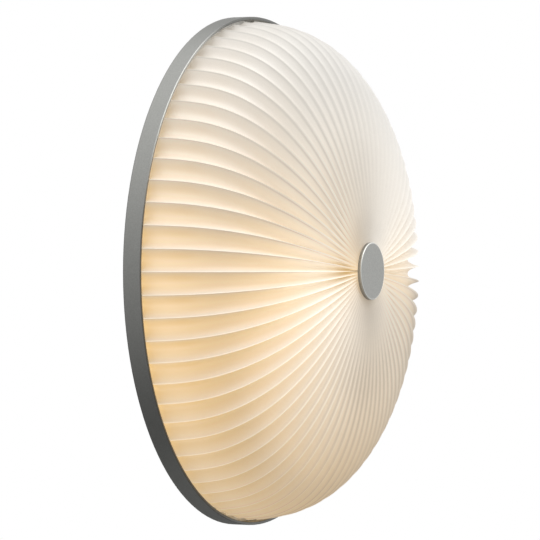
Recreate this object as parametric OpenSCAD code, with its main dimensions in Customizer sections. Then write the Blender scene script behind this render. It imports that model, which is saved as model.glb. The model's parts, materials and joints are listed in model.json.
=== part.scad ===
// Round wall light: a pleated translucent dome in a satin aluminium band, held by a centre cap.
// The part stands on the wall plane Y = 0 and faces -Y, with +Z up and the origin at the back plate's middle.
// Every module is drawn in wall coordinates first: X to the right, Y up, Z straight out from the wall.

/* [Rim ring] */
// Outside diameter of the aluminium band
ring_d = 450; // [400:1:500]
// Depth of the band, from its wall edge to its front edge
ring_depth = 16.3; // [15.5:0.1:22]
// Wall of the band
ring_wall = 2.7; // [1.5:0.1:4]
// Gap between the band and the wall
wall_gap = 1; // [0.5:0.1:2.5]
// Reach of the band's inward flange
ring_flange = 8.3; // [7:0.1:9]
// Thickness of the inward flange
ring_flange_t = 2; // [1.5:0.1:2.4]
// Chamfer that breaks the band's edges
ring_chamfer = 0.4; // [0.2:0.1:0.6]

/* [Pleated shade] */
// Number of pleats round the shade
pleat_count = 72; // [60:1:84]
// Depth of a pleat at the rim, ridge to valley
rim_pleat_depth = 8.1; // [6:0.1:10]
// Thickness of the folded foil, measured along the dome's normal
foil_t = 0.8; // [0.5:0.1:1.2]
// Height of the dome above the front edge of the band
dome_rise = 108.2; // [100:0.1:115]
// Roundness of the dome across its face
dome_power_r = 2.7; // [2.5:0.1:3.2]
// Roundness of the dome in its depth
dome_power_z = 2.4; // [2:0.1:2.6]
// Gap between the band's wall and the ridges
shade_gap = 4.1; // [3:0.1:5]
// How far the cap pulls the middle of the dome in
cap_dip = 2.4; // [1.8:0.1:3.5]
// Radius inside which the dome is pulled in
dip_r = 60; // [45:1:80]

/* [Shade fixings] */
// Sheet of the carrier ring that closes the foot of the foil
carrier_t = 1.2; // [0.8:0.1:1.5]
// Height of the carrier's inner wall
carrier_h = 11; // [8:0.1:12]
// Wire of the spreader ring behind the valleys
spreader_wire = 3.5; // [2.5:0.1:5]
// Number of countersunk screws that hold the carrier to the band
carrier_screw_count = 8; // [4:1:12]
// Shank radius of those screws
carrier_screw_r = 1.5; // [1:0.1:1.8]

/* [Centre cap and hub] */
// Diameter of the cap
cap_d = 50.3; // [46:0.1:56]
// Thickness of the cap
cap_t = 3.2; // [2.6:0.1:5]
// Chamfer round the cap's face
cap_chamfer = 0.4; // [0.2:0.1:0.8]
// Depth of the blind hole that the stud is pressed into
cap_hole = 1.8; // [1:0.1:2]
// Radius of the cap's threaded stud
stud_r = 3; // [2.5:0.1:3.4]
// Length of the stud below the cap
stud_l = 19; // [15:0.1:20]
// Radius of the hub's front flange, under the cap
hub_flange_r = 18; // [16:0.1:20]
// Thickness of the hub's front flange
hub_flange_t = 1.2; // [0.8:0.1:1.6]
// Outside radius of the hub's sleeve
hub_r = 10; // [9:0.1:11]
// Radius of the washer that closes the folds from inside
hub_washer_r = 24; // [20:0.1:28]
// Thickness of that washer
hub_washer_t = 1.5; // [1:0.1:2.5]
// Height of the hub's ring nut
hub_nut_h = 4; // [3:0.1:5]
// Radius of the ring nut over its corners
hub_nut_r = 15; // [13:0.1:18]
// Sleeve that shows below the ring nut
hub_tail = 2; // [1:0.1:4]

/* [Stem] */
// Radius of the stem's body
stem_r = 8; // [7:0.1:9]
// Radius of the stem's tip, inside the hub
stem_tip_r = 5; // [4.5:0.1:5.6]
// Length of the stem's tip
stem_tip_l = 15; // [12:0.1:17]
// Radius of the threaded foot that passes through the plate
stem_foot_r = 4; // [3:0.1:5]
// Height of the jam nut behind the plate
stem_nut_h = 3.6; // [3:0.1:4]
// Radius of the jam nut over its corners
stem_nut_r = 8; // [7:0.1:10]

/* [Back plate] */
// Sheet of the back plate
plate_t = 1.2; // [0.8:0.1:1.8]
// How far the plate's floor stands off the wall
plate_raise = 5; // [4.6:0.1:7]
// Width of the flat foot that touches the wall
plate_foot = 11; // [8:0.5:16]
// Width of the slope between foot and floor
plate_slope = 4; // [3:0.5:6]
// Height of the plate's outer rim
plate_rim_h = 12; // [9:0.1:14]
// Half of the spacing between wall screws, across
wall_screw_x = 70; // [60:1:80]
// Half of the spacing between wall screws, up and down
wall_screw_y = 104; // [100:1:115]
// Width of a wall screw slot
slot_w = 5.2; // [4:0.1:6]
// Length of a wall screw slot, end to end
slot_l = 14; // [10:0.1:16]
// Radius of the pressed cup round a slot
slot_cup_r = 12; // [10:0.1:14]

/* [Mains entry] */
// Height of the cable hole above the centre
entry_y = 124; // [120:1:135]
// Radius of the opening in the grommet
entry_r = 4.5; // [3:0.1:5]
// Radius of the hole in the plate
entry_hole_r = 7; // [6:0.1:8]
// Height of the cord clamp above the centre
clamp_y = 107; // [104:1:111]
// Width of the cord clamp
clamp_w = 28; // [24:1:36]
// Radius of the arched cable tunnel in the clamp
clamp_tunnel_r = 4.2; // [3:0.1:5]
// Height of the cord clamp
clamp_h = 8.5; // [8:0.1:12]

/* [Terminal block] */
// Height of the block's middle above the centre
block_y = 72; // [72:1:76]
// Distance between two poles
pole_step = 11; // [10.5:0.1:12]
// Depth of the block along its wires
block_depth = 18; // [16:0.5:19]
// Height of the block
block_h = 15; // [13:0.5:20]
// Radius of a brass barrel
barrel_r = 2.6; // [2.2:0.1:3]
// Height of the barrels above the plate
barrel_z = 6; // [5:0.1:8]

/* [Lamps] */
// Height of the lamps' axis above the wall
lamp_z = 50; // [46:1:54]
// Distance from the centre to the tip of a bulb
bulb_tip_x = 18; // [14:1:24]
// Radius of a bulb
bulb_r = 30; // [27:0.5:32]
// Length of the glass, tip to neck
bulb_glass_l = 80; // [74:1:88]
// Radius of the bulb's neck
bulb_neck_r = 14; // [13.5:0.1:14.6]
// Crest radius of the lamp thread
thread_r = 13.2; // [13:0.1:13.4]
// Pitch of the lamp thread
thread_pitch = 3.62; // [3:0.01:4]
// Outside radius of the lampholder's skirt
holder_r = 19.5; // [18.5:0.1:21]
// Depth of the lampholder, rim to back
holder_l = 46; // [40:0.5:50]
// Wall of the brass shell in the lampholder
shell_t = 1.1; // [0.8:0.1:1.5]
// Length of the brass shell
shell_l = 24; // [20:0.5:25]
// Length of a bulb's cap, from the lampholder's rim to the contact button
lamp_cap_l = 26.7; // [25:0.1:28]
// Length of the thread on a bulb's cap
lamp_thread_l = 21; // [18:0.1:22]
// Sheet of the lamp brackets
bracket_t = 1.5; // [1:0.1:2]
// Half width of a lamp bracket
bracket_half_w = 18; // [16:0.5:20]
// Length of a bracket's foot
bracket_foot = 23; // [20:0.5:25]
// Outside radius of the threaded nipple
nipple_r = 4.9; // [4.5:0.1:5.2]
// Diameter of an insulated wire
wire_d = 2; // [1.6:0.1:2.2]

/* [Hidden] */
$fn = 96;

// Fits
seat_gap = 0.3;
slide_clear = 1;
running = 0.05;
thread_clear = 0.05;
hole_clear = 0.2;
lamp_clear = 0.3;

// How far a cut runs past the face that it opens
over = 1;

// Radii, worked inwards from the band
ring_r = ring_d / 2;
band_in_r = ring_r - ring_wall;
ridge_r = band_in_r - shade_gap;
valley_in_r = ridge_r - rim_pleat_depth - foil_t;
spreader_r = valley_in_r - seat_gap - spreader_wire / 2;
carrier_in_r = valley_in_r - 2 * seat_gap - spreader_wire - carrier_t;
plate_r = carrier_in_r - slide_clear;
flange_in_r = band_in_r - ring_flange;
carrier_screw_ring_r = (band_in_r + flange_in_r) / 2;

// Pleats: the face keeps its width from rim to centre, so a pleat deepens as the ridges close up
half_pitch = PI * ridge_r / pleat_count;
pleat_face = sqrt(pow(rim_pleat_depth, 2) + pow(half_pitch, 2));
column_count = 2 * pleat_count;
curve_steps = 11;

function pleat_depth(r) = sqrt(pow(pleat_face, 2) - pow(half_pitch * r / ridge_r, 2));

// Height of the ridges over a radius: a superellipse, pulled in near the cap
function dip(r) = cap_dip * pow(max(0, 1 - r / dip_r), 2);
function dome_z(r) =
    band_front - dip(r) + dome_rise * pow(1 - pow(r / ridge_r, dome_power_r), 1 / dome_power_z);

// Heights above the wall, worked outwards
floor_z = plate_raise + plate_t;
band_front = wall_gap + ring_depth;
carrier_z = wall_gap + ring_flange_t;
foil_foot_z = carrier_z + carrier_t + seat_gap;
cap_r = cap_d / 2;
cap_back = dome_z(cap_r) + seat_gap;
fold_top = cap_back - hub_flange_t - seat_gap;
hub_sleeve_in_r = stem_tip_r + seat_gap;
foil_in_r = hub_r + seat_gap;
washer_top = fold_top - pleat_depth(foil_in_r) - foil_t - seat_gap;
nut_top = washer_top - hub_washer_t;
hub_end = nut_top - hub_nut_h - hub_tail;

// A profile station is [radius, height, normal radius, normal height]
function unit(v) = v / norm(v);
function dome_normal(s, c) =
    unit([
        dome_power_r * pow(s, 2 * (dome_power_r - 1) / dome_power_r) / ridge_r,
        dome_power_z * pow(c, 2 * (dome_power_z - 1) / dome_power_z) / dome_rise
    ]);
function curve_station(angle) =
    let (
        s = sin(angle),
        c = cos(angle),
        r = ridge_r * pow(s, 2 / dome_power_r),
        n = dome_normal(s, c)
    )
    [r, band_front - dip(r) + dome_rise * pow(c, 2 / dome_power_z), n.x, n.y];

// The curve starts just inside the edge of the cap and ends where the foil meets the band
cap_edge_angle = asin(pow((cap_r - slide_clear) / ridge_r, dome_power_r / 2));
stations = concat(
    [
        [foil_in_r, fold_top, 0, 1],
        [hub_flange_r + slide_clear, fold_top, 0, 1]
    ],
    [for (k = [0 : curve_steps - 1])
        curve_station(cap_edge_angle + (90 - cap_edge_angle) * k / (curve_steps - 1))],
    [[ridge_r, foil_foot_z, 1, 0]]
);

// A foil point lies under its ridge by the fold depth plus, on the inside, the foil's thickness
function foil_point(station, column, extra) =
    let (
        fold = column % 2 == 0 ? 0 : pleat_depth(station[0]),
        r = station[0] - (fold + extra) * station[2],
        angle = 180 * column / pleat_count
    )
    [r * cos(angle), r * sin(angle), station[1] - (fold + extra) * station[3]];

function skin(extra) =
    [for (station = stations) for (column = [0 : column_count - 1]) foil_point(station, column, extra)];

// Two triangles between neighbouring columns of two point rows, split from ridge to ridge
function strip(row_a, row_b) =
    [for (i = [0 : column_count - 1])
        let (j = (i + 1) % column_count)
        each [[row_a + i, row_b + i, row_a + j], [row_a + j, row_b + i, row_b + j]]];

function turned(faces) = [for (f = faces) [f[0], f[2], f[1]]];

// Earth point
earth_x = -33;
earth_y = 84;
earth_tag_t = 0.8;
tag_w = 2.4;
tag_barrel_r = 1.5;
tag_barrel_l = 3;
tag_barrel_x = 5;
tag_end = tag_barrel_x + tag_barrel_l;

// Each barrel stays this far behind the faces of its block
barrel_inset = 1;

// Wires are swept along smooth curves through hand-placed points; heights count from the lamps' axis
wire_sides = 8;
wire_steps = 3;
wire_aside = 1.2;
wire_end_y = block_y - block_depth / 2 + barrel_inset - seat_gap;
wire_end_z = floor_z + barrel_z - lamp_z;
live_right = [
    [140, -1.3, 0], [158, -1.3, 0], [170, 0.4, -3], [179, 6.4, -13], [181, 14.4, -25],
    [176, 24.4, -36], [164, 34.2, -41.5], [145, 43, -42.5], [118, 49, -42.5], [80, 52, -42.5],
    [40, 52, -42.5], [10, 51, -42.5], [-2, 51.5, -42], [-8.5, 55.5, -39.5],
    [wire_aside - pole_step, wire_end_y, wire_end_z]
];
neutral_right = [
    [140, 1.3, 0], [158, 1.3, 0], [171, 3, -2.4], [181, 8.6, -12.4], [183.4, 16.4, -24.6],
    [178.4, 27, -35.4], [165.6, 37.4, -41], [145, 46, -42.5], [118, 52, -42.5], [80, 55, -42.5],
    [45, 55.5, -42.5], [25, 55, -42], [15, 57, -39.5], [pole_step + wire_aside, wire_end_y, wire_end_z]
];
live_left = [for (p = neutral_right) [-p.x, p.y, p.z]];
neutral_left = [
    [-140, -1.3, 0], [-158, -1.3, 0], [-170, 0.4, -3], [-179, 6.4, -13], [-181, 14.4, -25],
    [-176, 24.4, -36], [-164, 34.2, -41.5], [-145, 43, -42.5], [-118, 49, -42.5], [-80, 50.5, -42.5],
    [-40, 49, -42.5], [-10, 47.5, -41.5], [2, 47.5, -39], [8, 50.5, -37.5], [9.8, 57, -37.4],
    [pole_step - wire_aside, wire_end_y, wire_end_z]
];
earth_route = [
    [0, 2 * block_y - wire_end_y, wire_end_z], [-1, 86, -37.8], [-5, 90, -39], [-12, 90, -41],
    [-17, 86.2, -42], [-21, 84.2, -42],
    [earth_x + tag_end + hole_clear, earth_y, floor_z + earth_tag_t + wire_d / 2 - lamp_z]
];

// Smooth cubic from b to c, with the slopes set by their neighbours a and d
function spline_point(a, b, c, d, t) =
    0.5 * (2 * b + (c - a) * t + (2 * a - 5 * b + 4 * c - d) * t * t + (3 * b - a - 3 * c + d) * t * t * t);
function smooth_route(points) =
    let (last = len(points) - 1)
    concat(
        [for (i = [0 : last - 1]) for (k = [0 : wire_steps - 1])
            spline_point(
                points[max(i - 1, 0)], points[i], points[i + 1], points[min(i + 2, last)],
                k / wire_steps
            )],
        [points[last]]
    );
function wire_ring(centre, along) =
    let (
        side = unit(cross(along, [0.13, 0.21, 1])),
        up = cross(side, along)
    )
    [for (k = [0 : wire_sides - 1])
        let (angle = 360 * k / wire_sides)
        centre + wire_d / 2 * (cos(angle) * side + sin(angle) * up)];

// Lampholder: the cavity is as deep as the bulb's cap and the contact strip need
neck_show = 2;
contact_rise = 4.3;
contact_t = 0.6;
contact_w = 5;
shell_inset = 3;
holder_rim_x = bulb_tip_x + bulb_glass_l + neck_show;
holder_back_x = holder_rim_x + holder_l;
holder_cavity_r = thread_r + lamp_clear + shell_t + seat_gap;
cavity_floor_x = holder_rim_x + lamp_cap_l + contact_rise;
nipple_bore_r = 3.6;
nipple_nut_h = 3;
nipple_nut_r = 7.4;
nipple_seat = 2;
nipple_tail = 6.5;

// Nuts, screws and small parts
bracket_screw_out = 15;
bracket_screw_x = holder_back_x + bracket_screw_out;
bracket_screw_y = 10;
m3_r = 1.5;
m3_head_r = 2.8;
m3_head_h = 1.9;
m3_tail = 2;
countersink = 1.2;
stem_tail = 0.2;
terminal_screw_r = 1.3;
terminal_screw_l = 2.4;
terminal_head_r = 1.9;
terminal_head_h = 1.4;
terminal_well_r = 2.2;
barrel_wall = 0.9;
earth_stud_r = 2;
earth_stud_h = 8;
earth_nut_h = 3.2;
earth_nut_r = 4;
clamp_screw_x = 9.5;
clamp_depth = 8;
clamp_tunnel_rise = 2;
pole_screw_y = 5;
block_screw_x = pole_step / 2;

// Turns wall coordinates into the part's own frame
module on_wall() {
    rotate([90, 0, 0]) children();
}

// Axis of one lamp: the child's +Z runs outwards from the centre, side is 1 or -1
module on_lamp_axis(side) {
    on_wall() translate([0, 0, lamp_z]) rotate([0, 90 * side, 0]) children();
}

module both_lamps() {
    for (side = [1, -1]) on_lamp_axis(side) children();
}

module tube(outer_r, inner_r, from, to) {
    rotate_extrude() translate([inner_r, from]) square([outer_r - inner_r, to - from]);
}

module hex_nut(corner_r, bore_r, h) {
    difference() {
        cylinder(r = corner_r, h = h, $fn = 6);
        translate([0, 0, -over]) cylinder(r = bore_r, h = h + 2 * over);
    }
}

// Pan-head screw: the head stands on Z = 0 and the shank goes down
module pan_screw(shank_r, shank_l, head_r, head_h) {
    edge_h = 0.55 * head_h;
    crown_r = 0.78 * head_r;
    recess_l = 1.2 * head_r;
    recess_w = 0.24 * head_r;
    recess_floor = 0.45 * head_h;
    difference() {
        rotate_extrude() polygon([
            [0, -shank_l], [shank_r, -shank_l], [shank_r, 0], [head_r, 0],
            [head_r, edge_h], [crown_r, head_h], [0, head_h]
        ]);
        for (turn = [0, 90]) rotate([0, 0, turn])
            translate([-recess_l / 2, -recess_w / 2, recess_floor])
                cube([recess_l, recess_w, head_h]);
    }
}

module m3_screw(shank_l) {
    pan_screw(m3_r, shank_l, m3_head_r, m3_head_h);
}

module wall_screw_places() {
    for (x = [-wall_screw_x, wall_screw_x]) for (y = [-wall_screw_y, wall_screw_y])
        translate([x, y, 0]) children();
}

module bracket_screw_places() {
    for (side = [1, -1]) for (y = [-bracket_screw_y, bracket_screw_y])
        translate([side * bracket_screw_x, y, 0]) children();
}

module pole_places() {
    for (pole = [-1, 0, 1]) translate([pole * pole_step, block_y, 0]) children();
}

module carrier_screw_places() {
    for (k = [0 : carrier_screw_count - 1]) rotate([0, 0, 360 * (k + 0.5) / carrier_screw_count])
        translate([carrier_screw_ring_r, 0, wall_gap]) children();
}

// Countersunk screw with its head at Z = 0; with a clearance it is the hole that takes the screw
module countersunk(clear, l) {
    shank_r = carrier_screw_r + clear;
    head_r = shank_r + countersink;
    rotate_extrude() polygon([
        [0, -clear], [head_r, -clear], [head_r, 0], [shank_r, countersink], [shank_r, l], [0, l]
    ]);
}

// A slot that is round at both ends
module slot_cut(width, length, depth) {
    run = (length - width) / 2;
    translate([-run, -width / 2, 0]) cube([2 * run, width, depth]);
    for (x = [-run, run]) translate([x, 0, 0]) cylinder(d = width, h = depth);
}

// Pressed steel pan: a flat foot on the wall, a floor that stands off it, and an upright rim
module plate_pan() {
    step_out = plate_r - plate_foot;
    step_in = step_out - plate_slope;
    rotate_extrude() polygon([
        [0, plate_raise], [step_in, plate_raise], [step_out, 0], [plate_r, 0],
        [plate_r, plate_rim_h], [plate_r - plate_t, plate_rim_h], [plate_r - plate_t, plate_t],
        [step_out + plate_t / 2, plate_t], [step_in + plate_t / 2, floor_z], [0, floor_z]
    ]);
}

module wall_plate() {
    color("white") on_wall() difference() {
        union() {
            plate_pan();
            wall_screw_places() cylinder(r = slot_cup_r + plate_t, h = floor_z);
        }
        wall_screw_places() {
            translate([0, 0, plate_t]) cylinder(r = slot_cup_r, h = floor_z);
            translate([0, 0, -over]) slot_cut(slot_w, slot_l, plate_t + 2 * over);
        }
        translate([0, entry_y, 0]) cylinder(r = entry_hole_r, h = floor_z + over);
        cylinder(r = stem_foot_r + hole_clear, h = floor_z + over);
        for (x = [-clamp_screw_x, clamp_screw_x])
            translate([x, clamp_y, 0]) cylinder(r = m3_r + thread_clear, h = floor_z + over);
        translate([block_screw_x, block_y, 0]) cylinder(r = m3_r + thread_clear, h = floor_z + over);
        translate([earth_x, earth_y, 0]) cylinder(r = earth_stud_r + thread_clear, h = floor_z + over);
        bracket_screw_places() cylinder(r = m3_r + thread_clear, h = floor_z + over);
    }
}

// Rubber grommet snapped into the cable hole
module cable_grommet() {
    lip = 1.2;
    lip_r = entry_hole_r + 2.6;
    taper = 0.6;
    color("dimgray") on_wall() translate([0, entry_y, 0]) rotate_extrude() polygon([
        [entry_r, plate_raise - lip], [lip_r, plate_raise - lip],
        [lip_r, plate_raise], [entry_hole_r, plate_raise],
        [entry_hole_r, floor_z], [lip_r, floor_z],
        [lip_r - taper, floor_z + lip], [entry_r, floor_z + lip]
    ]);
}

// Saddle that grips the mains cable inside the light
module cord_clamp() {
    color("whitesmoke") on_wall() translate([0, clamp_y, floor_z]) difference() {
        translate([-clamp_w / 2, -clamp_depth / 2, 0]) cube([clamp_w, clamp_depth, clamp_h]);
        translate([0, 0, clamp_tunnel_rise]) rotate([90, 0, 0])
            cylinder(r = clamp_tunnel_r, h = clamp_depth + 2 * over, center = true);
        translate([-clamp_tunnel_r, -clamp_depth, -over])
            cube([2 * clamp_tunnel_r, 2 * clamp_depth, clamp_tunnel_rise + over]);
        for (x = [-clamp_screw_x, clamp_screw_x])
            translate([x, 0, -over]) cylinder(r = m3_r + hole_clear, h = clamp_h + 2 * over);
    }
}

module clamp_screws() {
    color("silver") on_wall() for (x = [-clamp_screw_x, clamp_screw_x])
        translate([x, clamp_y, floor_z + clamp_h]) m3_screw(clamp_h + plate_t + m3_tail);
}

// Three-pole mains terminal block
module terminal_block() {
    width = 3 * pole_step;
    color("ivory") on_wall() difference() {
        translate([-width / 2, block_y - block_depth / 2, floor_z]) cube([width, block_depth, block_h]);
        pole_places() {
            translate([0, 0, floor_z + barrel_z]) rotate([90, 0, 0])
                cylinder(r = barrel_r + hole_clear / 2, h = block_depth + 2 * over, center = true);
            for (y = [-pole_screw_y, pole_screw_y])
                translate([0, y, floor_z + barrel_z]) cylinder(r = terminal_well_r, h = block_h);
        }
        translate([block_screw_x, block_y, 0])
            cylinder(r = m3_r + hole_clear, h = floor_z + block_h + over);
        translate([block_screw_x, block_y, floor_z + block_h - m3_head_h])
            cylinder(r = m3_head_r + hole_clear / 2, h = block_h);
    }
}

module terminal_barrels() {
    color("goldenrod") on_wall() pole_places() translate([0, 0, floor_z + barrel_z]) difference() {
        rotate([90, 0, 0]) cylinder(r = barrel_r, h = block_depth - 2 * barrel_inset, center = true);
        rotate([90, 0, 0]) cylinder(r = barrel_r - barrel_wall, h = block_depth, center = true);
        for (y = [-pole_screw_y, pole_screw_y])
            translate([0, y, 0]) cylinder(r = terminal_screw_r + thread_clear, h = block_h);
    }
}

module terminal_screws() {
    color("silver") on_wall() pole_places() for (y = [-pole_screw_y, pole_screw_y])
        translate([0, y, floor_z + barrel_z + barrel_r + m3_tail])
            pan_screw(terminal_screw_r, terminal_screw_l, terminal_head_r, terminal_head_h);
}

module terminal_fixing_screw() {
    color("silver") on_wall() translate([block_screw_x, block_y, floor_z + block_h - m3_head_h])
        m3_screw(block_h - m3_head_h + plate_t + m3_tail);
}

// Earth point: a stud welded to the plate, the wire's tag and a nut
module earth_stud() {
    color("silver") on_wall() translate([earth_x, earth_y, plate_raise])
        cylinder(r = earth_stud_r, h = plate_t + earth_stud_h);
}

module earth_tag() {
    neck_x = tag_barrel_x - hole_clear;
    color("silver") on_wall() translate([earth_x, earth_y, floor_z]) difference() {
        union() {
            cylinder(r = earth_nut_r + hole_clear, h = earth_tag_t);
            translate([0, -tag_w / 2, 0]) cube([tag_end - m3_tail, tag_w, earth_tag_t]);
            translate([tag_barrel_x, 0, wire_d / 2 + earth_tag_t]) rotate([0, 90, 0])
                cylinder(r = tag_barrel_r, h = tag_barrel_l);
            translate([neck_x, -tag_w / 2, 0]) cube([tag_w, tag_w, earth_tag_t + wire_d / 2]);
        }
        translate([0, 0, -over]) cylinder(r = earth_stud_r + thread_clear, h = earth_tag_t + 2 * over);
    }
}

module earth_nut() {
    color("silver") on_wall() translate([earth_x, earth_y, floor_z + earth_tag_t])
        hex_nut(earth_nut_r, earth_stud_r + thread_clear, earth_nut_h);
}

// Centre stem: threaded foot through the plate, body, and a tip with a threaded hole for the cap
module stem() {
    bore_r = stud_r + running;
    shoulder = hub_end - running;
    tip_end = hub_end + stem_tip_l;
    bore_floor = hub_end - stud_r;
    color("silver") on_wall() difference() {
        union() {
            translate([0, 0, plate_raise - stem_nut_h - stem_tail])
                cylinder(r = stem_foot_r, h = floor_z - plate_raise + stem_nut_h + stem_tail);
            translate([0, 0, floor_z]) cylinder(r = stem_r, h = shoulder - floor_z);
            translate([0, 0, shoulder]) cylinder(r = stem_tip_r, h = tip_end - shoulder);
        }
        translate([0, 0, bore_floor]) cylinder(r = bore_r, h = tip_end - bore_floor + over);
    }
}

module stem_nut() {
    color("silver") on_wall() translate([0, 0, plate_raise - stem_nut_h])
        hex_nut(stem_nut_r, stem_foot_r + thread_clear, stem_nut_h);
}

// Bent steel bracket that carries one lampholder
module lamp_bracket(side) {
    color("white") on_wall() difference() {
        union() {
            translate([side > 0 ? holder_back_x : -holder_back_x - bracket_t, 0, 0]) {
                translate([0, -bracket_half_w, floor_z])
                    cube([bracket_t, 2 * bracket_half_w, lamp_z - floor_z]);
                translate([0, 0, lamp_z]) rotate([0, 90, 0]) cylinder(r = bracket_half_w, h = bracket_t);
            }
            translate([side > 0 ? holder_back_x : -holder_back_x - bracket_foot, -bracket_half_w, floor_z])
                cube([bracket_foot, 2 * bracket_half_w, bracket_t]);
        }
        translate([0, 0, lamp_z]) rotate([0, 90, 0])
            cylinder(r = nipple_r + hole_clear, h = 2 * bracket_screw_x, center = true);
        bracket_screw_places() translate([0, 0, floor_z - over])
            cylinder(r = m3_r + hole_clear, h = bracket_t + 2 * over);
    }
}

module bracket_screws() {
    color("silver") on_wall() bracket_screw_places() translate([0, 0, floor_z + bracket_t])
        m3_screw(bracket_t + plate_t + m3_tail);
}

// Lampholder body: a skirt round the lamp's thread and a solid back with the nipple's hole
module lampholder_body() {
    skirt_end_x = holder_rim_x + 18;
    step = 2;
    back_r = holder_r - step;
    bore_r = nipple_r + hole_clear;
    rotate_extrude() polygon([
        [holder_cavity_r, holder_rim_x], [holder_r, holder_rim_x],
        [holder_r, skirt_end_x], [back_r, skirt_end_x + step],
        [back_r, holder_back_x], [bore_r, holder_back_x],
        [bore_r, cavity_floor_x], [holder_cavity_r, cavity_floor_x]
    ]);
}

module lampholder_right() {
    color("whitesmoke") on_lamp_axis(1) lampholder_body();
}

module lampholder_left() {
    color("whitesmoke") on_lamp_axis(-1) lampholder_body();
}

// Threaded brass shells that take the bulbs
module lampholder_shells() {
    shell_in_r = thread_r + lamp_clear;
    start_x = holder_rim_x + shell_inset;
    color("goldenrod") both_lamps() tube(shell_in_r + shell_t, shell_in_r, start_x, start_x + shell_l);
}

// Bent strip at the bottom of each lampholder, just short of the bulb's contact
module lampholder_contacts() {
    foot_x = cavity_floor_x;
    foot_top = foot_x - contact_t;
    tip_x = holder_rim_x + lamp_cap_l + seat_gap;
    foot_half = 9;
    bend = 7;
    pad_half = 3;
    color("goldenrod") both_lamps() translate([0, contact_w / 2, 0]) rotate([90, 0, 0])
        linear_extrude(contact_w) polygon([
            [-foot_half, foot_x], [foot_half, foot_x], [foot_half, foot_top], [bend, foot_top],
            [pad_half, tip_x], [-pad_half, tip_x], [-pad_half, tip_x + contact_t],
            [pad_half - contact_t / 2, tip_x + contact_t], [bend - contact_t, foot_top],
            [-foot_half, foot_top]
        ]);
}

module lampholder_nipples() {
    end_x = holder_back_x + bracket_t + nipple_nut_h + nipple_tail;
    color("silver") both_lamps() tube(nipple_r, nipple_bore_r, cavity_floor_x + nipple_seat, end_x);
}

module nipple_nuts() {
    color("silver") both_lamps() translate([0, 0, holder_back_x + bracket_t])
        hex_nut(nipple_nut_r, nipple_r + thread_clear, nipple_nut_h);
}

// One insulated wire, swept along its route
module wire(points) {
    route = smooth_route([for (p = points) [p.x, p.y, p.z + lamp_z]]);
    last = len(route) - 1;
    rings = [for (i = [0 : last])
        wire_ring(route[i], unit(route[min(i + 1, last)] - route[max(i - 1, 0)]))];
    sides = [for (i = [0 : last - 1]) for (k = [0 : wire_sides - 1])
        let (
            a = i * wire_sides + k,
            b = i * wire_sides + (k + 1) % wire_sides,
            c = a + wire_sides,
            d = b + wire_sides
        )
        each [[a, b, c], [b, d, c]]];
    start = [for (k = [1 : wire_sides - 2]) [0, k + 1, k]];
    tip = last * wire_sides;
    end = [for (k = [1 : wire_sides - 2]) [tip, tip + k, tip + k + 1]];
    polyhedron(points = [for (ring = rings) each ring], faces = concat(sides, start, end), convexity = 6);
}

module live_wires() {
    color("saddlebrown") on_wall() {
        wire(live_right);
        wire(live_left);
    }
}

module neutral_wires() {
    color("steelblue") on_wall() {
        wire(neutral_right);
        wire(neutral_left);
    }
}

module earth_wire() {
    color("yellowgreen") on_wall() wire(earth_route);
}

// Satin aluminium band with an inward flange at its wall edge
module rim_ring() {
    c = ring_chamfer;
    color([0.62, 0.62, 0.60]) on_wall() difference() {
        rotate_extrude() polygon([
            [flange_in_r, wall_gap], [ring_r - c, wall_gap], [ring_r, wall_gap + c],
            [ring_r, band_front - c], [ring_r - c, band_front], [band_in_r + c, band_front],
            [band_in_r, band_front - c], [band_in_r, carrier_z], [flange_in_r, carrier_z]
        ]);
        carrier_screw_places() countersunk(hole_clear, ring_flange_t + 1);
    }
}

// White steel channel under the foot of the foil, on the band's flange
module shade_carrier() {
    outer_r = band_in_r - hole_clear;
    color("white") on_wall() difference() {
        rotate_extrude() polygon([
            [carrier_in_r, carrier_z], [outer_r, carrier_z], [outer_r, carrier_z + carrier_t],
            [carrier_in_r + carrier_t, carrier_z + carrier_t],
            [carrier_in_r + carrier_t, carrier_z + carrier_h],
            [carrier_in_r, carrier_z + carrier_h]
        ]);
        carrier_screw_places() cylinder(r = carrier_screw_r + thread_clear, h = carrier_h);
    }
}

module carrier_screws() {
    color("silver") on_wall() carrier_screw_places() countersunk(0, ring_flange_t + carrier_t);
}

// Sprung wire ring that keeps the folds apart and pushes them into the channel
module spreader_ring() {
    color("silver") on_wall() rotate_extrude()
        translate([spreader_r, foil_foot_z + spreader_wire / 2]) circle(d = spreader_wire, $fn = 48);
}

// Folded foil dome: ridges on the superellipse, valleys one fold depth inside it
module pleated_shade() {
    row_count = len(stations);
    points = concat(skin(0), skin(foil_t));
    inner = row_count * column_count;
    last = (row_count - 1) * column_count;
    outside = [for (k = [0 : row_count - 2]) each strip(k * column_count, (k + 1) * column_count)];
    inside = [for (k = [0 : row_count - 2])
        each turned(strip(inner + k * column_count, inner + (k + 1) * column_count))];
    hub_edge = turned(strip(0, inner));
    rim_edge = strip(last, inner + last);
    color([0.96, 0.92, 0.82]) on_wall() polyhedron(
        points = points,
        faces = concat(outside, inside, hub_edge, rim_edge),
        convexity = 12
    );
}

// Flanged hub that gathers the folds behind the cap
module hub_sleeve() {
    color("silver") on_wall() rotate_extrude() polygon([
        [hub_sleeve_in_r, hub_end], [hub_r, hub_end], [hub_r, cap_back - hub_flange_t],
        [hub_flange_r, cap_back - hub_flange_t], [hub_flange_r, cap_back], [hub_sleeve_in_r, cap_back]
    ]);
}

module hub_washer() {
    color("silver") on_wall() tube(hub_washer_r, hub_r + thread_clear, nut_top, washer_top);
}

module hub_nut() {
    color("silver") on_wall() translate([0, 0, nut_top - hub_nut_h - thread_clear])
        hex_nut(hub_nut_r, hub_r + thread_clear, hub_nut_h);
}

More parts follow.
